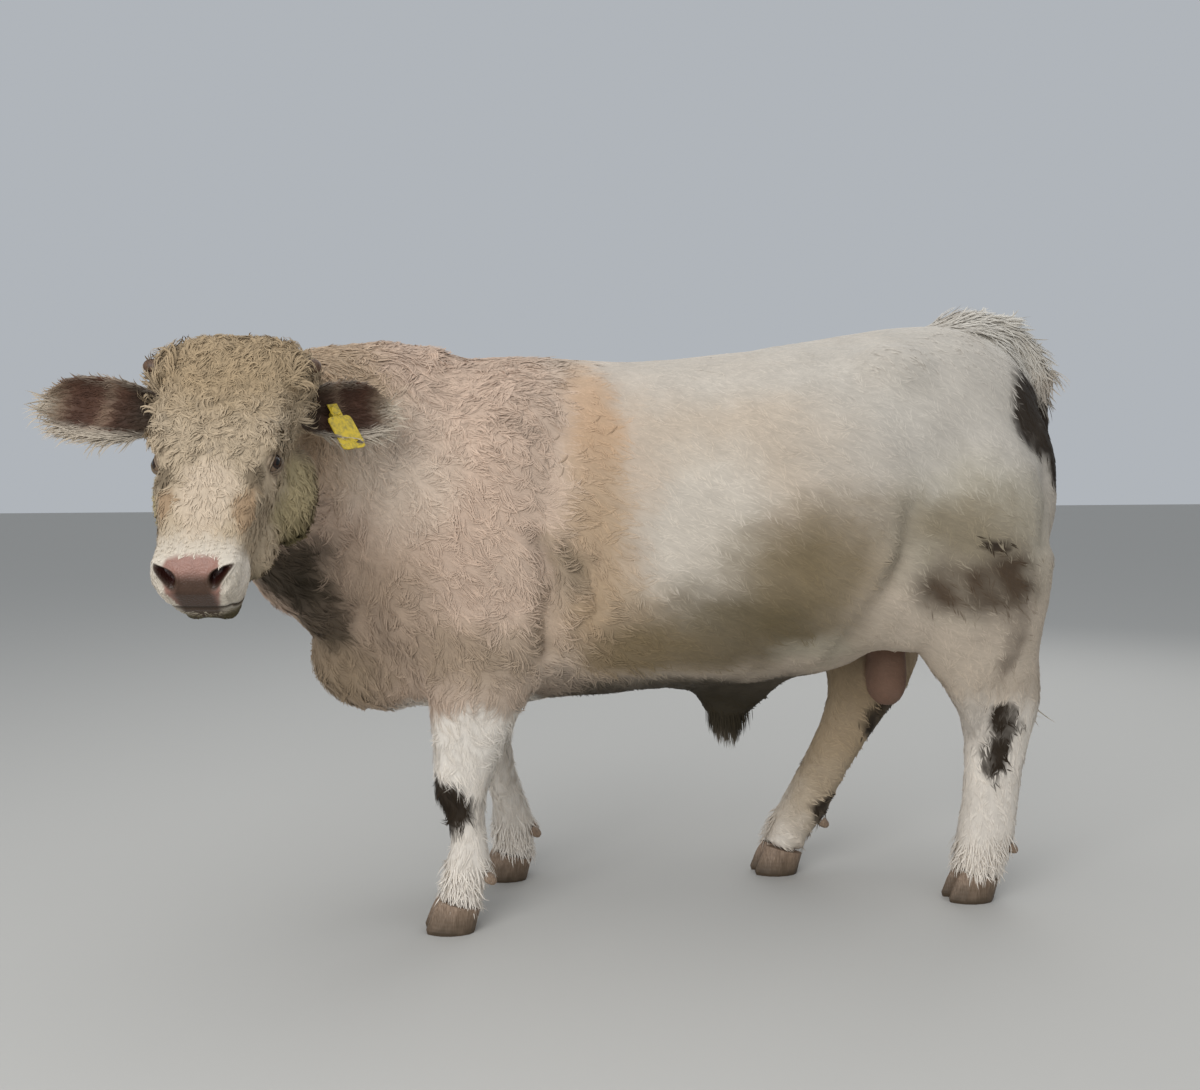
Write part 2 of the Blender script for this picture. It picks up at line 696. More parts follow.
def makeEye(name, side):
    # A whole eyeball whose clear front bulges a little
    shape = bmesh.new()
    bmesh.ops.create_uvsphere(shape, u_segments=64, v_segments=64, radius=eyePlan["radius"])
    for vert in shape.verts:
        near = max(0.0, vert.co.z / eyePlan["radius"])
        vert.co *= 1 + eyePlan["bulge"] * near ** 6
    front = np.array([vert.co for vert in shape.verts]) / eyePlan["radius"]
    pupil = np.hypot(*(front[:, :2] / eyePlan["pupil"]).T)
    iris = np.hypot(front[:, 0], front[:, 1])
    colour = np.tile(linear(eyeTones["white"]), (len(front), 1))
    for tone, inner, outer in eyePlan["rings"]:
        colour = blendTone(colour, 1 - ease(iris, inner, outer), eyeTones[tone])
    colour = blendTone(colour, (1 - ease(pupil, 0.85, 1.1)) * (front[:, 2] > 0), eyeTones["pupil"])
    turn = Matrix(eyeTurn(side).tolist()).transposed()
    bmesh.ops.transform(shape, matrix=Matrix.Translation(eyeCentre(side)) @ turn.to_4x4(), verts=shape.verts)
    bmesh.ops.recalc_face_normals(shape, faces=shape.faces)
    eye = link(shape, name)
    paint(eye, colour)
    eye.data.shade_smooth()
    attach(eye, "root")
    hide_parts("eye_left" if side > 0 else "eye_right")
    return eye


# The dome: where along the horn its tip begins to round off, and over what share of its length
hornPlan = {"root": (0.002, 0.090, -0.004), "length": 0.078, "radius": 0.0185, "taper": 0.28,
            "dome": (0.8, 0.2), "ringDeep": 0.018, "rings": 34, "droop": 0.006, "steps": 41}


def makeHorn(name, side):
    # A short stub with rings of growth
    root = sidePoint(hornPlan["root"], side)
    tip = root + headDirection(0.02, side, 0.20) * hornPlan["length"]
    domeStart, domeLength = hornPlan["dome"]
    centres, radii = [], []
    for t in np.linspace(0, 1, hornPlan["steps"]):
        radius = hornPlan["radius"] * (1 - hornPlan["taper"] * t)
        radius *= math.sqrt(max(0.02, 1 - max(0, (t - domeStart) / domeLength) ** 2))
        radius *= 1 + hornPlan["ringDeep"] * math.sin(t * hornPlan["rings"]) * (1 - t)
        centres.append(root.lerp(tip, t) - faceLine * (hornPlan["droop"] * t * t))
        radii.append(radius)
    horn = pathLoft(name, centres, radii, faceOut)
    horn.data.shade_smooth()
    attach(horn, "root")
    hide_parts("horn_left" if side > 0 else "horn_right")
    return horn


print("skin")
skin, flesh = makeBodySkin()
skin = mergeSkins(skin, makeHeadSkin())
sculptBody(skin)
sculptHead(skin)
skin.data.shade_smooth()
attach(skin, "root")
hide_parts("head", *flesh)
print(len(skin.data.polygons), "faces")
print("ears, eyes and horns")
ears = [makeEar("ear_left"), makeEar("ear_right")]
eyes = [makeEye("eyeLeft", 1), makeEye("eyeRight", -1)]
horns = [makeHorn("hornLeft", 1), makeHorn("hornRight", -1)]


# Tones of the coat, as sRGB
coatTones = {
    "base": "#C2B3A1", "pinkTan": "#C6AC98", "orange": "#B98F62", "rust": "#A88A62", "white": "#D3CDC2",
    "grey": "#C1BCB3", "snow": "#EDE5DA", "olive": "#6E5E3E", "dusk": "#564A2E", "shade": "#261F0E",
    "mud": "#2F251A", "dirt": "#4E3F30", "tan": "#A38E70", "thigh": "#ADA592", "scrotum": "#7C5D4C",
    "wool": "#B79F80", "cream": "#DCCBB8",
}
# Patches: side (0 both, 1 left, -1 right), middle, half sizes, tone, strength
patches = [
    (0, (0.0, -0.14, 0.95), (0.6, 0.58, 0.66), "pinkTan", 0.85),
    (0, (0.15, -0.27, 1.14), (0.34, 0.15, 0.22), "wool", 0.7),
    (0, (0.0, 1.12, 1.12), (0.6, 0.42, 0.34), "grey", 0.75),
    (0, (0.0, 0.62, 1.25), (0.4, 0.4, 0.14), "grey", 0.55),
    (0, (0.3, 1.14, 0.86), (0.25, 0.22, 0.18), "thigh", 0.65),
    (1, (0.31, 1.1, 0.885), (0.2, 0.17, 0.095), "olive", 0.62),
    (1, (0.27, -0.12, 1.02), (0.22, 0.13, 0.16), "cream", 0.7),
    (0, (0.0, 1.33, 1.31), (0.16, 0.2, 0.1), "white", 0.85),
    (0, (0.17, 0.05, 0.2), (0.3, 0.4, 0.3), "snow", 0.85),
    (1, (0.2, 1.15, 0.2), (0.4, 0.5, 0.3), "snow", 0.75),
    (-1, (-0.1, 0.95, 0.1), (0.3, 0.4, 0.2), "snow", 0.75),
    (1, (0.22, 0.3, 1.14), (0.32, 0.06, 0.15), "orange", 0.5),
    (1, (0.28, 0.31, 1.0), (0.32, 0.055, 0.15), "orange", 0.16),
    (1, (0.28, 0.3, 0.86), (0.3, 0.075, 0.2), "rust", 0.5),
    (1, (0.27, 0.33, 0.66), (0.25, 0.13, 0.13), "rust", 0.5),
    (-1, (-0.28, 0.26, 0.9), (0.32, 0.15, 0.32), "rust", 0.3),
    (-1, (-0.28, 0.47, 1.0), (0.32, 0.22, 0.36), "pinkTan", 0.35),
    (1, (0.3, 0.54, 0.86), (0.25, 0.15, 0.21), "white", 0.5),
    (-1, (-0.3, 0.6, 0.95), (0.25, 0.17, 0.2), "white", 0.6),
    (1, (0.3, 0.715, 0.77), (0.28, 0.2, 0.165), "olive", 0.8),
    (1, (0.3, 0.62, 0.655), (0.28, 0.31, 0.1), "dusk", 0.8),
    (1, (0.3, 0.83, 0.85), (0.28, 0.14, 0.13), "olive", 0.55),
    (1, (0.27, 0.4, 0.61), (0.2, 0.2, 0.06), "olive", 0.7),
    (-1, (-0.3, 0.72, 0.76), (0.28, 0.22, 0.15), "olive", 0.55),
    (-1, (-0.3, 0.52, 0.66), (0.28, 0.32, 0.1), "olive", 0.6),
    (0, (0.0, 0.52, 0.475), (0.34, 0.6, 0.1), "shade", 0.9),
    (0, (0.0, 0.665, 0.415), (0.12, 0.16, 0.09), "shade", 0.8),
    (0, (0.2, 0.8, 0.62), (0.14, 0.1, 0.05), "thigh", 0.6),
    (1, (0.28, 0.222, 0.8), (0.12, 0.05, 0.09), "olive", 0.55),
    (1, (0.28, 0.17, 0.7), (0.12, 0.045, 0.09), "olive", 0.3),
    (-1, (-0.28, 0.23, 0.76), (0.12, 0.06, 0.1), "olive", 0.5),
    (0, (0.0, -0.24, 0.58), (0.28, 0.18, 0.14), "olive", 0.65),
    (0, (0.25, -0.16, 0.76), (0.22, 0.14, 0.13), "olive", 0.35),
    (0, (0.26, 0.03, 0.63), (0.22, 0.17, 0.08), "olive", 0.45),
    (-1, (-0.1, 1.02, 0.34), (0.22, 0.26, 0.37), "tan", 0.85),
    (0, (0.05, 1.03, 0.61), (0.12, 0.12, 0.07), "shade", 0.6),
    (0, (0.24, -0.33, 0.8), (0.15, 0.085, 0.13), "shade", 0.9),
    (0, (0.15, -0.27, 0.7), (0.15, 0.075, 0.105), "shade", 0.75),
    (0, (0.17, 0.03, 0.425), (0.22, 0.3, 0.1), "snow", 0.9),
    (1, (0.17, 1.325, 1.14), (0.13, 0.08, 0.12), "mud", 1.0),
    (1, (0.11, 1.395, 1.06), (0.12, 0.065, 0.12), "mud", 0.95),
    (-1, (-0.09, 1.385, 1.06), (0.09, 0.06, 0.06), "dirt", 0.85),
    (-1, (-0.15, 1.34, 0.98), (0.06, 0.06, 0.05), "dirt", 0.6),
    (0, (0.0, 1.44, 1.08), (0.07, 0.05, 0.13), "mud", 0.9),
    (1, (0.31, 1.178, 0.85), (0.1, 0.036, 0.018), "mud", 0.95),
    (1, (0.3, 1.105, 0.755), (0.14, 0.13, 0.07), "dirt", 0.85),
    (1, (0.3, 1.215, 0.765), (0.14, 0.085, 0.1), "dirt", 0.95),
    (1, (0.24, 1.245, 0.62), (0.12, 0.032, 0.11), "dirt", 0.5),
    (1, (0.22, 1.19, 0.42), (0.1, 0.05, 0.07), "dirt", 0.4),
    (-1, (-0.24, 0.98, 0.7), (0.14, 0.09, 0.05), "dirt", 0.6),
    (1, (0.22, 1.262, 0.425), (0.07, 0.036, 0.055), "mud", 0.74),
    (1, (0.22, 1.245, 0.35), (0.07, 0.038, 0.05), "mud", 0.8),
    (-1, (-0.08, 1.075, 0.375), (0.09, 0.045, 0.07), "mud", 0.8),
    (-1, (-0.05, 0.93, 0.15), (0.07, 0.035, 0.05), "mud", 0.65),
    (1, (0.2, -0.04, 0.285), (0.14, 0.1, 0.08), "mud", 1.0),
    (-1, (-0.17, 0.1, 0.3), (0.07, 0.05, 0.045), "mud", 0.6),
]
# How far out from a patch's middle it begins to fade, and where it ends
patchEdges = {
    **dict.fromkeys(("mud", "snow"), (0.7, 1.1)),
    **dict.fromkeys(("olive", "dusk", "rust", "dirt", "orange", "cream"), (0.25, 1.35)),
}
otherEdge = (0.55, 1.25)
scrotumBall = ((0, 1.06, 0.53), (0.08, 0.085, 0.16))
# Size of the clouds that break up the patches' edges, and how far they move them
wobblePlan = {"lump": (0.09, 0.07), "ripple": (0.025, 0.03), "tear": (0.013, 0.04)}
flecked = ("mud", "dirt")  # tones whose patches are ragged and uneven
# Turns the flecks' noise, so that none of its edges lies level
slant = np.array(Matrix.Rotation(math.radians(40), 3, Vector((1, 0.4, 0.3))))
headTones = {
    "face": "#B3A188", "poll": "#A38D6E", "bridge": "#C6B49E", "muzzle": "#CFC5B6", "cheek": "#AC9D76",
    "jaw": "#5C5330", "rust": "#94714E", "stain": "#463824", "pad": "#977164", "padLow": "#3A291C",
    "chin": "#453E22", "lip": "#35281B", "nostril": "#2A120D", "lid": "#7A6856", "pale": "#E4DACC",
}
# Head patches of both sides: middle s, l, d, half sizes, tone, strength
headPatches = [
    ((0.0, 0.0, 0.03), (0.16, 0.18, 0.12), "poll", 0.85),
    ((0.32, 0.0, 0.05), (0.1, 0.07, 0.05), "bridge", 0.9),
    ((0.225, 0.14, -0.09), (0.12, 0.06, 0.07), "cheek", 0.8),
    ((0.25, 0.09, -0.2), (0.26, 0.12, 0.085), "jaw", 0.9),
    ((0.325, 0.072, 0.015), (0.04, 0.024, 0.022), "rust", 0.55),
    ((0.455, 0.0, -0.02), (0.085, 0.16, 0.09), "muzzle", 0.97),
    ((0.435, 0.085, -0.035), (0.055, 0.04, 0.045), "pale", 0.9),
    ((0.43, 0.0, -0.135), (0.11, 0.1, 0.078), "chin", 0.95),
    ((0.266, 0.08, 0.022), (0.036, 0.022, 0.026), "stain", 0.65),
    ((0.235, 0.11, -0.05), (0.05, 0.03, 0.035), "bridge", 0.5),
    ((0.218, 0.112, -0.026), (0.028, 0.02, 0.012), "stain", 0.35),
]


def padShare(h):
    # 1 on the bare nose between the nostrils and down to the lip
    h = h + (cloud(h, 0.012, 33)[:, None] - 0.5) * 0.006
    wide = 0.047 - 0.30 * np.maximum(0, 0.0 - h[:, 2]) - 0.10 * np.maximum(0, 0.450 - h[:, 0])
    share = ease(wide - np.abs(h[:, 1]), -0.006, 0.004) * ease(h[:, 0] - 2.2 * h[:, 1] ** 2, 0.420, 0.434)
    return share * ease(h[:, 2], -0.070, -0.055) * (1 - ease(h[:, 2], 0.040, 0.052))


def bareStains(places, h):
    # Share and tone of each mark on the head's bare skin, in the order they are laid on
    low = ease(h[:, 0], 0.450, 0.470) * (1 - ease(np.abs(h[:, 1]), 0.026, 0.044)) * (h[:, 2] < 0.05)
    lips = np.exp(-(mouthReach(h) / 0.006) ** 2) * ease(h[:, 0], 0.36, 0.39)
    stains = [(padShare(h), "pad"), (low * 0.92, "padLow"), (lips, "lip")]
    for side in (1, -1):
        reach, near = nostrilReach(places, side)
        away = np.linalg.norm(places - np.array(eyeCentre(side)), axis=1)
        stains += [
            ((1 - ease(reach, 1.1, 1.5)) * near, "padLow"), ((1 - ease(reach, 0.75, 1.15)) * near, "nostril"),
            (0.7 * (1 - ease(away, 0.0235, 0.032)), "lid"), (0.9 * (1 - ease(away, 0.0205, 0.0240)), "lip"),
        ]
    return stains


def markings(places, bare=False):
    # The coat's colour at many places, or the skin's own where it is bare
    plan, h = planOf(places), toHead(places)
    lump, ripple, tear = wobblePlan.values()
    wobble = stir(plan, lump[0], 3) * lump[1] + stir(plan, ripple[0], 6) * ripple[1]
    slanted = plan @ slant
    fine = 0.2 if bare else 1  # the skin's points lie too far apart for small flecks
    ragged = wobble * 0.6 + stir(slanted, tear[0], 80) * (tear[1] * fine)
    flecks = 0.35 + 0.90 * cloud(slanted, 0.035, 90) + 0.50 * (0.5 + fine * (cloud(slanted, 0.012, 91) - 0.5))
    oneSide = mirrored(plan)
    colour = np.tile(linear(coatTones["base"]), (len(plan), 1))
    for side, middle, half, tone, strength in patches:
        near = oneSide if side == 0 else plan
        reach = reachOf(near + (ragged if tone in flecked else wobble), middle, half)
        share = (1 - ease(reach, *patchEdges.get(tone, otherEdge))) * strength
        if tone in flecked:
            share = np.minimum(share * (flecks + 0.25 * (tone == "mud")), 1)
        colour = blendTone(colour, np.where(plan[:, 0] * side < 0, 0, share), coatTones[tone])
    ball = reachOf(plan, *scrotumBall)
    colour = blendTone(colour, 0.9 * (1 - ease(ball, 0.85, 1.1)), coatTones["scrotum"])
    for name in creases:
        _, wide, line = folds[name]
        share = 0.65 * np.exp(-(lineReach(oneSide, line)[0] / wide / 0.6) ** 2)
        colour = blendTone(colour, share, coatTones["shade"])
    colour *= (0.94 + 0.12 * cloud(plan, 0.05, 30))[:, None]
    head = np.tile(linear(headTones["face"]), (len(plan), 1))
    face = mirrored(h, 1) + wobble * 0.4
    for middle, half, tone, strength in headPatches:
        head = blendTone(head, (1 - ease(reachOf(face, middle, half), 0.6, 1.15)) * strength, headTones[tone])
    if bare:
        for share, tone in bareStains(places, h):
            head = blendTone(head, share, headTones[tone])
    head *= (0.95 + 0.10 * cloud(places, 0.02, 31))[:, None]
    return blend(colour, head, ease(aheadOfCut(places), -0.02, 0.04))


rng = np.random.default_rng(7)
thin = 1.0
tailPath = (
    (0, 1.18, 1.318), (0, 1.26, 1.345), (0, 1.34, 1.335), (0, 1.41, 1.27), (0, 1.438, 1.16),
    (0.002, 1.447, 1), (0.006, 1.432, 0.84), (0.01, 1.403, 0.72), (0.012, 1.378, 0.6), (0.016, 1.358, 0.43))


def unit(vectors):
    return vectors / np.maximum(np.linalg.norm(vectors, axis=1), 1e-9)[:, None]


def alongSkin(ways, outward):
    # Directions with their part out of the surface taken away
    return unit(ways - outward * np.sum(ways * outward, axis=1)[:, None])


def corners(thing):
    thing.data.calc_loop_triangles()
    return column(thing.data.loop_triangles, "vertices", 3, np.int32)


def sow(thing, spacing, keep):
    # Roots over a surface, about a spacing apart: places and outward directions
    places, outward = points(thing), normals(thing)
    tri = corners(thing)
    a, b, c = (places[tri[:, k]] for k in range(3))
    area = np.linalg.norm(np.cross(b - a, c - a), axis=1) / 2
    middle = (a + b + c) / 3
    wanted = thin * keep(middle) * area / spacing(middle) ** 2
    count = np.floor(wanted + rng.random(len(area))).astype(int)
    pick = np.repeat(np.arange(len(area)), count)
    u, v = rng.random(len(pick)), rng.random(len(pick))
    over = u + v > 1
    u[over], v[over] = 1 - u[over], 1 - v[over]
    mix = [(1 - u - v)[:, None], u[:, None], v[:, None]]
    root = sum(m * places[tri[pick, k]] for k, m in enumerate(mix))
    out = sum(m * outward[tri[pick, k]] for k, m in enumerate(mix))
    return root, unit(out)


# Faces of the thinned copies, the widest turn within a chart in degrees, and the gap between charts
unwrapPlan = {"skin": 5000, "ear": 1200, "turn": 66, "gap": 0.003}


def unwrapOf(thing, faces):
    # Unwraps a thinned copy of a surface and returns a way to look up any place on it
    copy = bpy.data.objects.new("unwrap", thing.data.copy())
    bpy.context.scene.collection.objects.link(copy)
    fewer = copy.modifiers.new("fewer", "DECIMATE")
    fewer.ratio = min(1.0, faces / len(copy.data.polygons))
    bake(copy)
    for other in bpy.context.selected_objects:
        other.select_set(False)
    copy.select_set(True)
    bpy.context.view_layer.objects.active = copy
    bpy.ops.object.mode_set(mode="EDIT")
    bpy.ops.mesh.select_all(action="SELECT")
    bpy.ops.uv.smart_project(angle_limit=math.radians(unwrapPlan["turn"]), island_margin=unwrapPlan["gap"])
    bpy.ops.object.mode_set(mode="OBJECT")
    tri = corners(copy)
    loops = column(copy.data.loop_triangles, "loops", 3, np.int32)
    chart = column(copy.data.uv_layers.active.data, "uv", 2)[loops]
    places = points(copy)
    tree = BVHTree.FromPolygons(places.tolist(), tri.tolist())
    bpy.data.objects.remove(copy)

    def lookUp(spots):
        found = [tree.find_nearest(spot) for spot in spots.tolist()]
        index = np.array([f[2] for f in found])
        spot = np.array([f[0] for f in found])
        a, b, c = (places[tri[index, k]] for k in range(3))
        whole = np.cross(b - a, c - a)
        size = np.maximum(np.sum(whole * whole, axis=1), 1e-18)
        v = np.sum(np.cross(spot - a, c - a) * whole, axis=1) / size
        w = np.sum(np.cross(b - a, spot - a) * whole, axis=1) / size
        share = np.clip(np.stack([1 - v - w, v, w], 1), 0, 1)[:, :, None]
        return np.sum(chart[index] * share, axis=1)
    return lookUp


hairWays = {"trunk": (0.0, 1.0, -0.50), "rump": (0.0, 0.6, -0.9), "neck": (-0.35, 0.70, -0.85),
            "legs": (0.0, 0.12, -1.0)}


def lieOf(places, outward):
    # The way the hair lies at many places, along the surface
    plan, h = planOf(places), toHead(places)
    trunk, rump, neck, legs = (np.array(way) for way in hairWays.values())
    lie = blend(trunk, rump, ease(plan[:, 1], 0.85, 1.15))
    lie = blend(lie, neck, onNeck(plan))
    lie = blend(lie, legs, onLegs(plan))
    away, way = lineReach(plan, tailPath)
    lie = blend(lie, way, 1 - ease(away, 0.045, 0.06))
    fall = np.where(h[:, 0] > 0.13, 1.0, -1.0) * ease(np.abs(h[:, 0] - 0.13), 0.0, 0.03)
    outwards = np.sign(h[:, 1]) * (0.25 + 0.6 * ease(-h[:, 2], 0.0, 0.08))
    flow = fall[:, None] * np.array(faceLine) + outwards[:, None] * np.array(headLeft)
    flow += (-0.9 * ease(-h[:, 2], 0.02, 0.10))[:, None] * np.array(faceOut)
    return alongSkin(blend(lie, flow, ease(aheadOfCut(places), -0.04, 0.04)), outward)


def turned(lie, outward, angle):
    side = np.cross(outward, lie)
    return lie * np.cos(angle)[:, None] + side * np.sin(angle)[:, None]


def flowOf(places):
    # Coordinates that run along the hair and across it, for the bump of the short coat
    plan, h = planOf(places), toHead(places)
    across, along, high = plan.T
    bend = 0.04 * (cloud(plan, 0.12, 70) - 0.5)
    flow = np.stack([0.89 * along - 0.45 * high, 0.45 * along + 0.89 * high + bend, across], 1)
    legs = np.stack([0.65 - high, along + bend, across], 1)
    face = np.stack([h[:, 0], h[:, 1] + bend, h[:, 2]], 1)
    return blend(blend(flow, legs, onLegs(plan)), face, ease(aheadOfCut(places), -0.01, 0.01))


coats = []


# Shares of a tuft's width or length, and the size of its patch on the unwrap
tuftPlan = {"taper": 0.7, "arch": 0.62, "ridge": 0.26, "patch": 0.003, "tipTone": 1.04}


def growTufts(name, host, root, outward, lie, length, width, lift, bend, colour, rings=2, sunk=0.30,
              softness=0.6, spread=0.05, dark=0.82):
    # One mesh of closed tapered tufts; bend is how far each turns sideways from root to tip
    count = len(root)
    size = 3 * rings + 1
    share = np.linspace(0, 1, rings + 1)
    taper = np.append(1 - share[:-1] ** 2 * tuftPlan["taper"], 0)
    side = np.cross(outward, lie)
    steps = 6 * rings
    turnBy = bend[:, None] * ((np.arange(steps) + 0.5) / steps)[None, :]
    still = np.zeros((count, 1))
    forward = np.concatenate([still, np.cumsum(np.cos(turnBy), 1)], 1) / steps
    sideways = np.concatenate([still, np.cumsum(np.sin(turnBy), 1)], 1) / steps
    verts = np.empty((count, size, 3))
    chart = np.empty((size, 2))
    for k, t in enumerate(share):
        at = round(t * steps)
        centre = root + lie * (length * forward[:, at])[:, None] + side * (length * sideways[:, at])[:, None]
        rise = length * lift * math.sin(min(t * tuftPlan["arch"], 1) * math.pi)
        centre += outward * (rise - width * sunk * (1 - 0.5 * t))[:, None]
        if k == rings:
            verts[:, -1] = centre
            chart[-1] = (0, t - 0.5)
            continue
        across = np.cross(outward, turned(lie, outward, bend * t)) * (width * taper[k] / 2)[:, None]
        verts[:, 3 * k] = centre + across
        verts[:, 3 * k + 1] = centre + outward * (width * taper[k] * tuftPlan["ridge"])[:, None]
        verts[:, 3 * k + 2] = centre - across
        chart[3 * k:3 * k + 3] = [(0.5, t - 0.5), (0, t - 0.5), (-0.5, t - 0.5)]
    faces = [(2, 1, 0)]
    for k in range(rings - 1):
        for j in range(3):
            a, b = 3 * k + j, 3 * k + (j + 1) % 3
            faces += [(b, a + 3, a), (b + 3, a + 3, b)]
    top = 3 * (rings - 1)
    faces += [(top + (j + 1) % 3, 3 * rings, top + j) for j in range(3)]
    faces = np.array(faces)
    loops = (faces[None] + (np.arange(count) * size)[:, None, None]).reshape(-1)
    mesh = bpy.data.meshes.new(name)
    mesh.vertices.add(count * size)
    mesh.vertices.foreach_set("co", verts.astype(np.float32).ravel())
    mesh.loops.add(len(loops))
    mesh.loops.foreach_set("vertex_index", loops.astype(np.int32))
    mesh.polygons.add(len(loops) // 3)
    mesh.polygons.foreach_set("loop_start", np.arange(0, len(loops), 3, dtype=np.int32))
    # Each tuft is a small patch of the unwrap at its root
    patch = host(root)[:, None, :] + chart[None] * tuftPlan["patch"]
    layer = mesh.uv_layers.new(name="OFBake")
    layer.data.foreach_set("uv", patch.reshape(-1, 2)[loops].astype(np.float32).ravel())
    mesh.update(calc_edges=True)
    mesh.shade_smooth()
    coat = link(mesh, name)
    # The two upper faces shade partly as the body under them, as soft hair does
    own = column(mesh.polygon_normals, "vector", 3).reshape(count, len(faces), 3).astype(float)
    upper = np.array([not set(f % 3 for f in face) <= {0, 2} for face in faces.tolist()])
    upper[0] = False
    soft = own + (outward[:, None, :] * softness - own * softness) * upper[None, :, None]
    soft = unit(soft.reshape(-1, 3))
    mesh.normals_split_custom_set(np.repeat(soft, 3, axis=0).astype(np.float32))
    depth = dark + (tuftPlan["tipTone"] - dark) * (chart[:, 1] + 0.5)
    shade = depth[None] * rng.uniform(1 - spread, 1 + spread, count)[:, None]
    paint(coat, (colour[:, None, :] * shade[:, :, None]).reshape(-1, 3))
    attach(coat, "root")
    print(" ", name, count, "tufts", len(mesh.polygons), "triangles")
    coats.append(coat)


def gather(root, outward, lie, length, apart, size, pull, turn=0.4):
    # Draws the tips of hairs together into locks about a size across, each lock turned its own way;
    # returns the new lie, each hair's lock and how far out in it the hair stands
    number = max(2, int(len(root) * (apart / size) ** 2 / thin))
    seeds = root[rng.choice(len(root), min(number, len(root)), replace=False)]
    for _ in range(2):
        tree = KDTree(len(seeds))
        for i, seed in enumerate(seeds.tolist()):
            tree.insert(seed, i)
        tree.balance()
        lock = np.array([tree.find(spot)[1] for spot in root.tolist()])
        held = np.maximum(np.bincount(lock, minlength=len(seeds)), 1)[:, None]
        seeds = np.stack([np.bincount(lock, root[:, k], len(seeds)) for k in range(3)], 1) / held
    off = root - seeds[lock]
    off -= outward * np.sum(off * outward, axis=1)[:, None]
    edge = np.linalg.norm(off, axis=1) / (size * 0.6)
    aim = turned(lie, outward, rng.normal(0, turn, len(seeds))[lock])
    off -= aim * np.sum(off * aim, axis=1)[:, None]
    aim = unit(aim * length[:, None] - off * pull)
    return aim, lock, np.clip(edge, 0, 1.3)


def eyeAway(places):
    # Metres from the nearer eye's middle
    return np.minimum(*(np.linalg.norm(places - np.array(eyeCentre(side)), axis=1) for side in (1, -1)))


def bareShare(places):
    # 1 where no hair grows: eyes, nose pad, nostrils, lips
    h = toHead(places)
    bare = padShare(h)
    for side in (1, -1):
        reach, near = nostrilReach(places, side)
        bare = np.maximum(bare, (1 - ease(reach, 1.3, 1.7)) * near)
    ball = eyePlan["radius"]
    bare = np.maximum(bare, 1 - ease(eyeAway(places), ball + 0.004, ball + 0.009))
    front = ease(h[:, 0], 0.415, 0.440)  # the lips are bare in front, haired at the corners
    return np.maximum(bare, 1 - ease(mouthReach(h), 0.003 + 0.006 * front, 0.006 + 0.012 * front))


print("coat")
skinUnwrap = unwrapOf(skin, unwrapPlan["skin"])


def curly(plan):
    # 1 on the neck and shoulder, whose hair is longer and waved, 0 on the smooth barrel and rump
    return 1 - ease(plan[:, 1] + 0.25 * (plan[:, 2] - 0.9), 0.16, 0.48)


# Flat hair's values, then what waves and legs add or take away; locks: spacing, size, pull and turn
bodyHair = {
    "spacing": (0.0104, 0.0037), "neckSpacing": 0.0010, "length": (0.021, 0.011),
    "width": (0.0044, 0.0010, 0.0014), "locks": (0.0085, 0.026, 0.9, 0.30), "lift": (0.015, 0.04, 0.08),
}
wavedLook = {"rings": 3, "spread": 0.05, "softness": 0.5, "dark": 0.86, "sunk": 0.30}
flatLook = {"rings": 2, "spread": 0.03, "softness": 0.75, "dark": 0.95, "sunk": 0.22}


def bodySpacing(middle):
    plan = planOf(middle)
    flat, less = bodyHair["spacing"]
    fluffy = np.maximum(curly(plan), 0.85 * onLegs(plan))
    return flat - less * fluffy + bodyHair["neckSpacing"] * onNeck(plan)


root, outward = sow(skin, bodySpacing, lambda middle: ease(-aheadOfCut(middle), -0.06, 0.0))
number = len(root)
plan = planOf(root)
waved, legs = curly(plan), onLegs(plan)
ball = 1 - ease(reachOf(plan, *scrotumBall), 0.9, 1.1)
swirl = (cloud(plan, 0.09, 11) - 0.5) * (0.3 + 1.1 * waved)
swirl += (cloud(plan, 0.035, 12) - 0.5) * (0.2 + 0.9 * waved)
lie = turned(lieOf(root, outward), outward, swirl + rng.normal(0, 0.08, number))
flat, more = bodyHair["length"]
length = (flat + more * waved) * rng.uniform(0.7, 1.25, number) * (1 - 0.5 * ball)
flat, less, onLeg = bodyHair["width"]
width = (flat - less * waved - onLeg * legs) * rng.uniform(0.8, 1.2, number)
lie, lock, edge = gather(root, outward, lie, length, *bodyHair["locks"])
locks = lock.max() + 1
lockBend = rng.normal(0, 0.9, locks)[lock]
fluffy = np.maximum(waved, 0.7 * legs)
flat, more, uneven = bodyHair["lift"]
lift = flat + fluffy * (more + uneven * cloud(plan, 0.03, 13)) + rng.uniform(0, 0.02, number)
bend = rng.normal(0, 0.15, number) + waved * lockBend
shade = 1 + fluffy * (0.07 - 0.17 * edge) + fluffy * rng.normal(0, 0.035, locks)[lock]
colour = markings(root) * shade[:, None]
hairs = (root, outward, lie, length, width, lift, bend, colour)
# Where each region ends, in the order they are taken
regions = {"Neck": onNeck(plan) > 0.85, "Shoulder": plan[:, 1] < 0.42, "Barrel": plan[:, 1] < 0.92,
           "Rump": plan[:, 1] < 9}
left = plan[:, 0] > 0
free = legs < 0.5
groups = [("Forelegs", ~free & (plan[:, 1] < 0.6)), ("Hindlegs", ~free & (plan[:, 1] >= 0.6))]
for name, inside in regions.items():
    groups.append((name, free & inside))
    free = free & ~inside
for name, inside in groups:
    for tail, half in (("Left", left), ("Right", ~left)):
        look = wavedLook if name in ("Neck", "Shoulder") else flatLook
        growTufts("coat" + name + tail, skinUnwrap, *(rows[inside & half] for rows in hairs), **look)


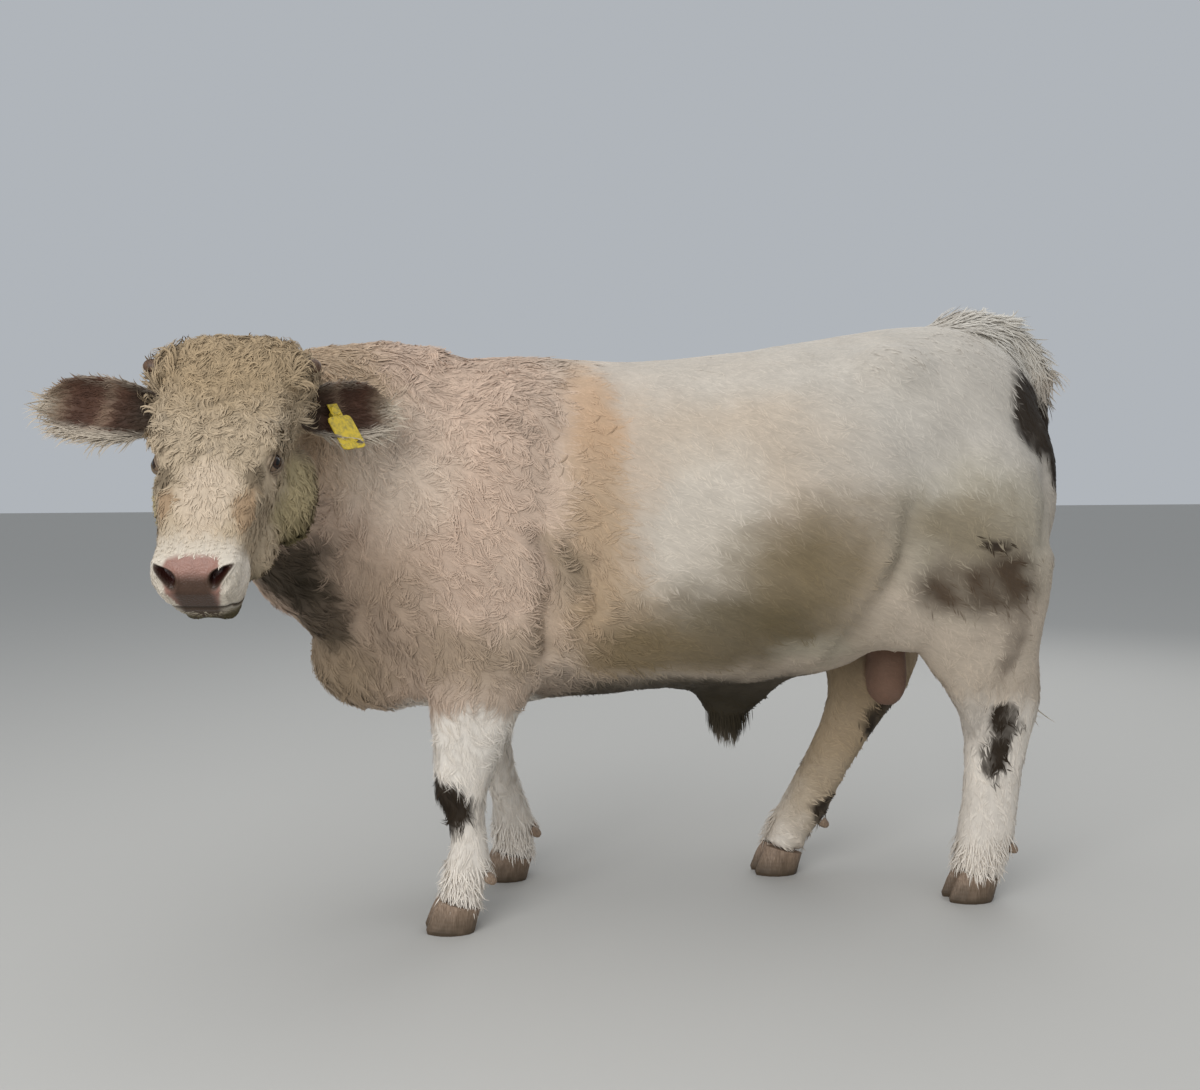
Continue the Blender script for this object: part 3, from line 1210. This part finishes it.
# The cheek's values, then how much less they are on the muzzle; lift: the muzzle's, then what the cheek
# adds; locks: spacing, size, pull and turn
faceHair = {"spacing": (0.0056, 0.0022), "length": (0.020, 0.012), "width": (0.0035, 0.0013), "cheek": 0.006,
            "locks": (0.0050, 0.015, 0.7, 0.35), "lift": (0.08, 0.04)}


def faceSpacing(middle):
    cheek, muzzle = faceHair["spacing"]
    return cheek - muzzle * ease(toHead(middle)[:, 0], 0.33, 0.42)


def hairedFace(middle):
    return ease(aheadOfCut(middle), 0.0, 0.06) * (1 - bareShare(middle))


root, outward = sow(skin, faceSpacing, hairedFace)
number = len(root)
h = toHead(root)
small = ease(h[:, 0], 0.32, 0.42)
cheek = ease(-h[:, 2], 0.03, 0.10)
swirl = (cloud(root, 0.03, 21) - 0.5) * 1.2 + rng.normal(0, 0.15, number)
lie = turned(lieOf(root, outward), outward, swirl)
whole, less = faceHair["length"]
length = whole - less * small + faceHair["cheek"] * cheek * (1 - small)
length = length * rng.uniform(0.75, 1.25, number)
length *= 0.40 + 0.60 * ease(eyeAway(root), 0.026, 0.052)
whole, less = faceHair["width"]
width = (whole - less * small) * rng.uniform(0.8, 1.2, number)
lie, lock, edge = gather(root, outward, lie, length, *faceHair["locks"])
whole, more = faceHair["lift"]
lift = whole + more * (1 - small) + rng.uniform(0, 0.05, number)
bend = rng.normal(0, 0.2, number) + (1 - small) * rng.normal(0, 0.8, lock.max() + 1)[lock]
colour = markings(root) * (1.06 - 0.16 * edge * (1 - 0.7 * small))[:, None]
growTufts("coatHead", skinUnwrap, root, outward, lie, length, width, lift, bend, colour,
          rings=2, softness=0.5, dark=0.84)


def curlShare(middle):
    # 1 over the poll and forehead where the curls stand
    h = toHead(middle)
    share = (1 - ease(h[:, 0], 0.18, 0.25)) * ease(h[:, 2], -0.075, -0.035)
    share *= ease(aheadOfCut(middle), 0.0, 0.02)
    return share * (1 - bareShare(middle)) * ease(eyeAway(middle), 0.034, 0.060)


def growCurls(name, spacing, keep, lockSize, lengths, width, lift, curl, turn):
    # Locks of thin hairs that bend together, so that each lock makes one curl
    root, outward = sow(skin, lambda middle: np.full(len(middle), spacing), keep)
    number = len(root)
    length = rng.uniform(*lengths, number)
    lie, lock, edge = gather(root, outward, lieOf(root, outward), length, spacing, lockSize, 0.8, turn)
    count = lock.max() + 1
    bend = (rng.choice([-1, 1], count) * rng.uniform(0.5, 1.3, count))[lock] * curl
    bend = bend + rng.normal(0, 0.25, number)
    high = lift * rng.uniform(0.6, 1.3, count)[lock] * rng.uniform(0.7, 1.1, number) * (1.15 - 0.5 * edge)
    tone = markings(root) * (1.12 - 0.30 * edge)[:, None] * rng.normal(1, 0.04, count)[lock][:, None]
    growTufts(name, skinUnwrap, root, outward, lie, length, width * rng.uniform(0.75, 1.25, number), high,
              bend, tone, rings=4, softness=0.45, spread=0.06, dark=0.74)


growCurls("coatCurls", 0.0050, curlShare, 0.018, (0.016, 0.028), 0.0034, 0.30, 2.2, 1.3)


def growLocks(name, spacing, keep, lengths, width, lift, bendy, tilt=0.0, hang=0.0, **extra):
    # Longer hair, tilted out of the skin or hanging down from it
    root, outward = sow(skin, lambda middle: np.full(len(middle), spacing), keep)
    number = len(root)
    lie = turned(lieOf(root, outward), outward, rng.normal(0, 0.25, number))
    lie = unit(lie * (1 - hang) + outward * tilt - np.array(up) * hang)
    length = rng.uniform(*lengths, number)
    wide = width * rng.uniform(0.75, 1.25, number)
    high = lift * rng.uniform(0.5, 1.3, number)
    growTufts(name, skinUnwrap, root, outward, lie, length, wide, high, rng.normal(0, bendy, number),
              markings(root), **extra)


def crestShare(middle):
    plan = planOf(middle)
    share = ease(plan[:, 2] + 0.10 * cloud(plan, 0.06, 60), 1.04, 1.24) * (1 - ease(plan[:, 1], -0.05, 0.34))
    return share * ease(-aheadOfCut(middle), -0.05, 0.0)


def pollShare(middle):
    # Longer wool at the sides of the poll, round the horns
    near = reachOf(mirrored(toHead(middle), 1), (0.012, 0.135, -0.02), (0.095, 0.06, 0.085))
    return (1 - ease(near, 0.7, 1.2)) * ease(aheadOfCut(middle), -0.02, 0.01)


def fetlockShare(middle):
    # Over the dewclaws and the coronets
    plan = planOf(middle)
    return ease(plan[:, 2], 0.060, 0.075) * (1 - ease(plan[:, 2], 0.13, 0.17)) * (onLegs(plan) > 0.5)


def tailHeadShare(middle):
    plan = planOf(middle)
    near = 1 - ease(lineReach(plan, tailPath)[0], 0.06, 0.11)
    return ease(plan[:, 1], 1.12, 1.22) * ease(plan[:, 2], 1.16, 1.24) * near


def switchShare(middle):
    plan = planOf(middle)
    near = 1 - ease(lineReach(plan, tailPath)[0], 0.05, 0.07)
    return near * (1 - ease(plan[:, 2], 0.60, 0.75)) * (plan[:, 1] > 1.28)


def sheathShare(middle):
    return 1 - ease(reachOf(planOf(middle), (0, 0.66, 0.39), (0.06, 0.10, 0.06)), 0.7, 1.0)


growCurls("coatCrest", 0.0074, crestShare, 0.026, (0.024, 0.042), 0.0038, 0.16, 1.3, 0.5)
growCurls("coatPoll", 0.0064, pollShare, 0.024, (0.026, 0.044), 0.0036, 0.50, 1.6, 0.8)
growLocks("coatTailHead", 0.0066, tailHeadShare, (0.040, 0.080), 0.0042, 0.13, 0.5,
          rings=5, softness=0.5, spread=0.06, dark=0.88)
growLocks("coatSwitch", 0.0060, switchShare, (0.07, 0.13), 0.0044, 0.05, 0.3,
          rings=5, softness=0.4, spread=0.10, dark=0.8)
growLocks("coatSheath", 0.0050, sheathShare, (0.022, 0.050), 0.0030, 0.04, 0.12, hang=0.9,
          rings=4, softness=0.4, spread=0.10, dark=0.85)
growLocks("coatFetlocks", 0.0070, fetlockShare, (0.026, 0.046), 0.0034, 0.10, 0.4, tilt=0.3,
          rings=3, softness=0.5, spread=0.08, dark=0.9)


def earField(name, root):
    # Places along the ear, from 0 to 1, and down across it
    base, along, down, _ = (np.array(v) for v in earFrame(name))
    off = root - base
    return off @ along / earPlan["length"], off @ down


earHair = {"spacing": 0.0052, "length": 0.013, "rim": 0.006, "fringe": 0.027, "width": (0.0018, 0.0032)}
earTones = {
    "back": "#B8A58C", "deep": "#33261B", "middle": "#4C3428", "ridge": "#A8907A", "fringe": "#C6BAA8",
}


def earTone(name, places, outward):
    # Dark at the root inside, redder towards the tip, with pale hair on the ridge
    along, across = earField(name, places)
    inside = ease(outward @ np.array(earFrame(name)[3]), -0.2, 0.3)
    brown = blend(linear(earTones["deep"]), linear(earTones["middle"]),
                  ease(along + 0.3 * cloud(places, 0.03, 41), 0.30, 0.70))
    brown = blendTone(brown, 0.35 * np.exp(-((along - 0.52 - across) / 0.045) ** 2), earTones["ridge"])
    brown = blendTone(brown, ease(along, 0.75, 1.0) * 0.5, earTones["back"])
    brown = brown * (1.25 - 0.5 * cloud(places, 0.02, 40))[:, None]
    return blend(np.tile(linear(earTones["back"]), (len(places), 1)), brown, inside), inside


for ear, name in zip(ears, ("ear_left", "ear_right")):
    paint(ear, earTone(name, points(ear), normals(ear))[0])
    unwrap = unwrapOf(ear, unwrapPlan["ear"])
    along, down = (np.array(v) for v in earFrame(name)[1:3])
    root, outward = sow(ear, lambda middle: np.full(len(middle), earHair["spacing"]),
                        lambda middle: np.ones(len(middle)))
    number = len(root)
    tone, inside = earTone(name, root, outward)
    t, across = earField(name, root)
    rim = np.clip(ease(np.abs(across), 0.030, 0.055) + ease(t, 0.85, 0.97), 0, 1)
    low = rim * (across > 0)
    lie = unit(along + (np.sign(across) * (0.3 + 0.5 * (across > 0)))[:, None] * down
               * ease(np.abs(across), 0.0, 0.05)[:, None])
    lie = turned(alongSkin(lie, outward), outward, rng.normal(0, 0.22, number))
    tone = blendTone(tone, rim * 0.35 + low * 0.5, earTones["fringe"])
    length = earHair["length"] + earHair["rim"] * rim + earHair["fringe"] * low
    length = length * rng.uniform(0.6, 1.35, number)
    growTufts("coatEar" + ("Left" if name == "ear_left" else "Right"), unwrap, root, outward, lie, length,
              rng.uniform(*earHair["width"], number), 0.08 + 0.10 * inside, rng.normal(0, 0.5, number), tone,
              rings=3, softness=0.2, spread=0.10, dark=0.8)


def connect(tree, node, links):
    # Links into a node's sockets, each from a (node, output) pair
    for key, (source, output) in dict(links).items():
        tree.links.new(source.outputs[output], node.inputs[key])


def addNode(tree, kind, settings=(), links=(), stops=()):
    # One node with its settings and links, and a ramp's stops as (place, tone) pairs
    node = tree.nodes.new("ShaderNode" + kind)
    for key, value in dict(settings).items():
        if isinstance(key, int) or key in node.inputs:
            node.inputs[key].default_value = value
        else:
            setattr(node, key, value)
    for i, (place, tone) in enumerate(stops):
        node.color_ramp.elements[i].position = place
        node.color_ramp.elements[i].color = (*linear(tone), 1)
    connect(tree, node, links)
    return node


def newMaterial(name, **sockets):
    made = bpy.data.materials.new(name)
    made.use_nodes = True
    shader = made.node_tree.nodes["Principled BSDF"]
    for key, value in sockets.items():
        shader.inputs[key.replace("_", " ")].default_value = value
    return made, made.node_tree, shader


def tintBy(tree, shader, shade):
    # The painted colour times a shade is the base colour
    colour = addNode(tree, "Attribute", {"attribute_name": "coatColour"})
    tinted = addNode(tree, "VectorMath", {"operation": "MULTIPLY"},
                     {0: (colour, "Color"), 1: (shade, "Result")})
    connect(tree, shader, {"Base Color": (tinted, 0)})


def hairMaterial(name, roughness):
    # Dull, dirty hair: soft broad gloss only, mottled a little from tuft to tuft
    made, tree, shader = newMaterial(name, Roughness=roughness, Specular_IOR_Level=0.2)
    place = addNode(tree, "TexCoord")
    grain = addNode(tree, "TexNoise", {"Scale": 220.0, "Detail": 3.0}, {"Vector": (place, "Object")})
    tintBy(tree, shader, addNode(tree, "MapRange", {
        "From Min": 0.3, "From Max": 0.7, "To Min": 0.92, "To Max": 1.07}, {"Value": (grain, "Fac")}))
    return made


# Hair widths drawn as coarse as the render can show: 3 mm streaks 25 mm long, in waves 11 mm wide
hidePlan = {"streak": (0.025, 0.0030), "wave": (0.070, 0.011), "cobble": 0.0035, "bump": 0.0011}


def hideMaterial(name):
    # Skin under short flat hair: dull, with streaks along the lie; the bare nose is moist, cobbled, smoother
    made, tree, shader = newMaterial(name, Roughness=0.75, Specular_IOR_Level=0.3)
    bare = addNode(tree, "Attribute", {"attribute_name": "bareSkin"})
    flow = addNode(tree, "Attribute", {"attribute_name": "coatFlow"})
    place = addNode(tree, "TexCoord")
    grains = []
    for long, wide in (hidePlan["streak"], hidePlan["wave"]):
        stretch = addNode(tree, "VectorMath", {"operation": "MULTIPLY", 1: (1 / long, 1 / wide, 1 / wide)},
                          {0: (flow, "Vector")})
        grains.append(addNode(tree, "TexNoise", {"Scale": 1.0, "Detail": 3.0, "Roughness": 0.6},
                              {"Vector": (stretch, 0)}))
    both = addNode(tree, "Math", {"operation": "ADD"}, {0: (grains[0], "Fac"), 1: (grains[1], "Fac")})
    tintBy(tree, shader, addNode(tree, "MapRange", {
        "From Min": 0.65, "From Max": 1.35, "To Min": 0.86, "To Max": 1.10}, {"Value": (both, "Value")}))
    cobble = addNode(tree, "TexVoronoi", {"Scale": 1 / hidePlan["cobble"]}, {"Vector": (place, "Object")})
    height = addNode(tree, "Mix", {"data_type": "FLOAT"},
                     {"Factor": (bare, "Fac"), "A": (both, "Value"), "B": (cobble, "Distance")})
    bump = addNode(tree, "Bump", {"Strength": 0.6, "Distance": hidePlan["bump"]},
                   {"Height": (height, "Result")})
    rough = addNode(tree, "MapRange", {"To Min": 0.75, "To Max": 0.38}, {"Value": (bare, "Fac")})
    connect(tree, shader, {"Roughness": (rough, 0), "Normal": (bump, 0)})
    return made


def keratinMaterial(name, tones, roughness, ringApart, axis):
    # Keratin in thin layers: growth rings across, fine streaks along, a dull waxy gloss; low parts are muddy
    made, tree, shader = newMaterial(name, Roughness=roughness, Specular_IOR_Level=0.4)
    place = addNode(tree, "TexCoord")
    streak = addNode(tree, "VectorMath", {"operation": "MULTIPLY", 1: (400, 400, 40)}, {0: (place, "Object")})
    fibre = addNode(tree, "TexNoise", {"Scale": 1.0, "Detail": 4.0}, {"Vector": (streak, 0)})
    rings = addNode(tree, "TexWave", {
        "bands_direction": axis, "Scale": 0.314 / ringApart / 2, "Distortion": 3.0, "Detail": 2.0},
        {"Vector": (place, "Object")})
    split = addNode(tree, "SeparateXYZ", {}, {0: (place, "Object")})
    dirt = addNode(tree, "TexNoise", {"Scale": 35.0, "Detail": 5.0}, {"Vector": (place, "Object")})
    low = addNode(tree, "Math", {"operation": "MULTIPLY_ADD", 1: -0.045}, {0: (dirt, "Fac"), 2: (split, "Z")})
    muddy = addNode(tree, "MapRange", {"From Min": 0.035, "From Max": -0.02}, {"Value": (low, "Value")})
    ramp = addNode(tree, "ValToRGB", {}, {"Fac": (fibre, "Fac")}, [(0.3, tones[0]), (0.7, tones[1])])
    mixed = addNode(tree, "Mix", {"data_type": "RGBA", 7: (*linear(tones[2]), 1)},
                    {"Factor": (muddy, "Result"), 6: (ramp, "Color")})
    height = addNode(tree, "Math", {"operation": "ADD"}, {0: (rings, "Fac"), 1: (fibre, "Fac")})
    bump = addNode(tree, "Bump", {"Strength": 0.4, "Distance": 0.0006}, {"Height": (height, "Value")})
    connect(tree, shader, {"Base Color": (mixed, 2), "Normal": (bump, 0)})
    return made


def tagMaterial(name, code, dusty):
    # Polyurethane from a mould: even and slightly soft to the eye, scuffed, with dust in its low places
    made, tree, shader = newMaterial(name, Roughness=0.42)
    place = addNode(tree, "TexCoord")
    grain = addNode(tree, "TexNoise", {"Scale": 90.0, "Detail": 6.0, "Roughness": 0.7},
                    {"Vector": (place, "Object")})
    ramp = addNode(tree, "ValToRGB", {}, {"Fac": (grain, "Fac")}, [(0.36, dusty), (0.56, code)])
    scuff = addNode(tree, "MapRange", {"To Min": 0.36, "To Max": 0.62}, {"Value": (grain, "Fac")})
    bump = addNode(tree, "Bump", {"Strength": 0.25, "Distance": 0.0004}, {"Height": (grain, "Fac")})
    connect(tree, shader, {"Base Color": (ramp, 0), "Roughness": (scuff, 0), "Normal": (bump, 0)})
    return made


def eyeMaterial(name):
    # A wet cornea over a brown iris: one sharp highlight, the colour painted in rings round the pupil
    made, tree, shader = newMaterial(name, Roughness=0.12, Specular_IOR_Level=0.35)
    place = addNode(tree, "TexCoord")
    grain = addNode(tree, "TexNoise", {"Scale": 500.0, "Detail": 3.0}, {"Vector": (place, "Object")})
    tintBy(tree, shader, addNode(tree, "MapRange", {"To Min": 0.6, "To Max": 1.4}, {"Value": (grain, "Fac")}))
    return made


def dress(thing, material):
    thing.data.materials.clear()
    thing.data.materials.append(material)
    thing.data.polygons.foreach_set("material_index", np.zeros(len(thing.data.polygons), np.int32))


print("finishes")
hide = hideMaterial("hideShortHair")
hair = hairMaterial("coatHair", 0.7)
paint(skin, markings(points(skin), bare=True) * 0.90)
for thing in [skin] + ears:
    dress(thing, hide)
    places = points(thing)
    layer = thing.data.attributes.new("coatFlow", "FLOAT_VECTOR", "POINT")
    layer.data.foreach_set("vector", flowOf(places).astype(np.float32).ravel())
    layer = thing.data.attributes.new("bareSkin", "FLOAT", "POINT")
    bareOnes = bareShare(places) if thing == skin else np.zeros(len(places))
    layer.data.foreach_set("value", bareOnes.astype(np.float32))
for coat in coats:
    coat.data.materials.append(hair)
eyeGloss = eyeMaterial("eyeballWetCornea")
for eye in eyes:
    eye.data.materials.append(eyeGloss)
hornKeratin = keratinMaterial("hornKeratinGrown", ("#3A281C", "#6B5240", "#2C2018"), 0.5, 0.006, "Y")
for horn in horns:
    horn.data.materials.append(hornKeratin)
hoofKeratin = keratinMaterial("hoofKeratinGrown", ("#6E5A48", "#9C8672", "#4A3D2E"), 0.6, 0.005, "Z")
tagYellow = tagMaterial("tagMouldedPolyurethane", "#C9AD22", "#8F7F2C")
for name, node in frame["nodes"].items():
    if "claw" in name or name == "ear_tag":
        node.data.materials.clear()
        node.data.materials.append(tagYellow if name == "ear_tag" else hoofKeratin)


print("stage")
bpy.context.scene.view_settings.view_transform = "Standard"
floorPlan = {"size": 40.0, "colour": "#BDBBB6"}
shape = bmesh.new()
bmesh.ops.create_grid(shape, x_segments=1, y_segments=1, size=floorPlan["size"] / 2)
floor = link(shape, "floor")
floorPaint, tree, shader = newMaterial("studioFloor", Roughness=0.9)
shader.inputs["Base Color"].default_value = (*linear(floorPlan["colour"]), 1)
floor.data.materials.append(floorPaint)

world = bpy.data.worlds.new("studio")
bpy.context.scene.world = world
world.use_nodes = True
skyPlan = {"colour": "#DDE3EA", "strength": 0.60}
sky = world.node_tree.nodes["Background"]
sky.inputs["Color"].default_value = (*linear(skyPlan["colour"]), 1)
sky.inputs["Strength"].default_value = skyPlan["strength"]


# Place, target, size and power of each softbox
lamps = {
    "keyLight": ((3.6, -2.2, 2.3), (0, 0.2, 0.7), (3.0, 2.6), 125),
    "topLight": ((0.2, 0.3, 4.4), (0, 0.3, 0.8), (5.0, 5.0), 66),
    "backLight": ((-3.2, 2.2, 3.0), (0, 0.3, 0.8), (3.0, 3.0), 40),
}
for name, (place, target, size, power) in lamps.items():
    lamp = bpy.data.lights.new(name, "AREA")
    lamp.shape = "RECTANGLE"
    lamp.size, lamp.size_y = size
    lamp.energy = power
    made = bpy.data.objects.new(name, lamp)
    made.location = place
    made.rotation_euler = (Vector(target) - Vector(place)).to_track_quat("-Z", "Y").to_euler()
    bpy.context.scene.collection.objects.link(made)

cameraPlan = {"place": (2.971, -0.143, 1.05), "yaw": 9.5, "pitch": -4.2, "focal": 1300, "wide": 1200,
              "sensor": 36}
yaw, pitch = math.radians(cameraPlan["yaw"]), math.radians(cameraPlan["pitch"])
look = Vector((-math.cos(yaw) * math.cos(pitch), math.sin(yaw) * math.cos(pitch), math.sin(pitch)))
camera = bpy.data.objects.new("camera", bpy.data.cameras.new("camera"))
camera.data.sensor_width = cameraPlan["sensor"]
camera.data.lens = cameraPlan["focal"] / cameraPlan["wide"] * cameraPlan["sensor"]
camera.location = Vector(cameraPlan["place"]) + shift
camera.rotation_euler = look.to_track_quat("-Z", "Y").to_euler()
bpy.context.scene.collection.objects.link(camera)
bpy.context.scene.camera = camera
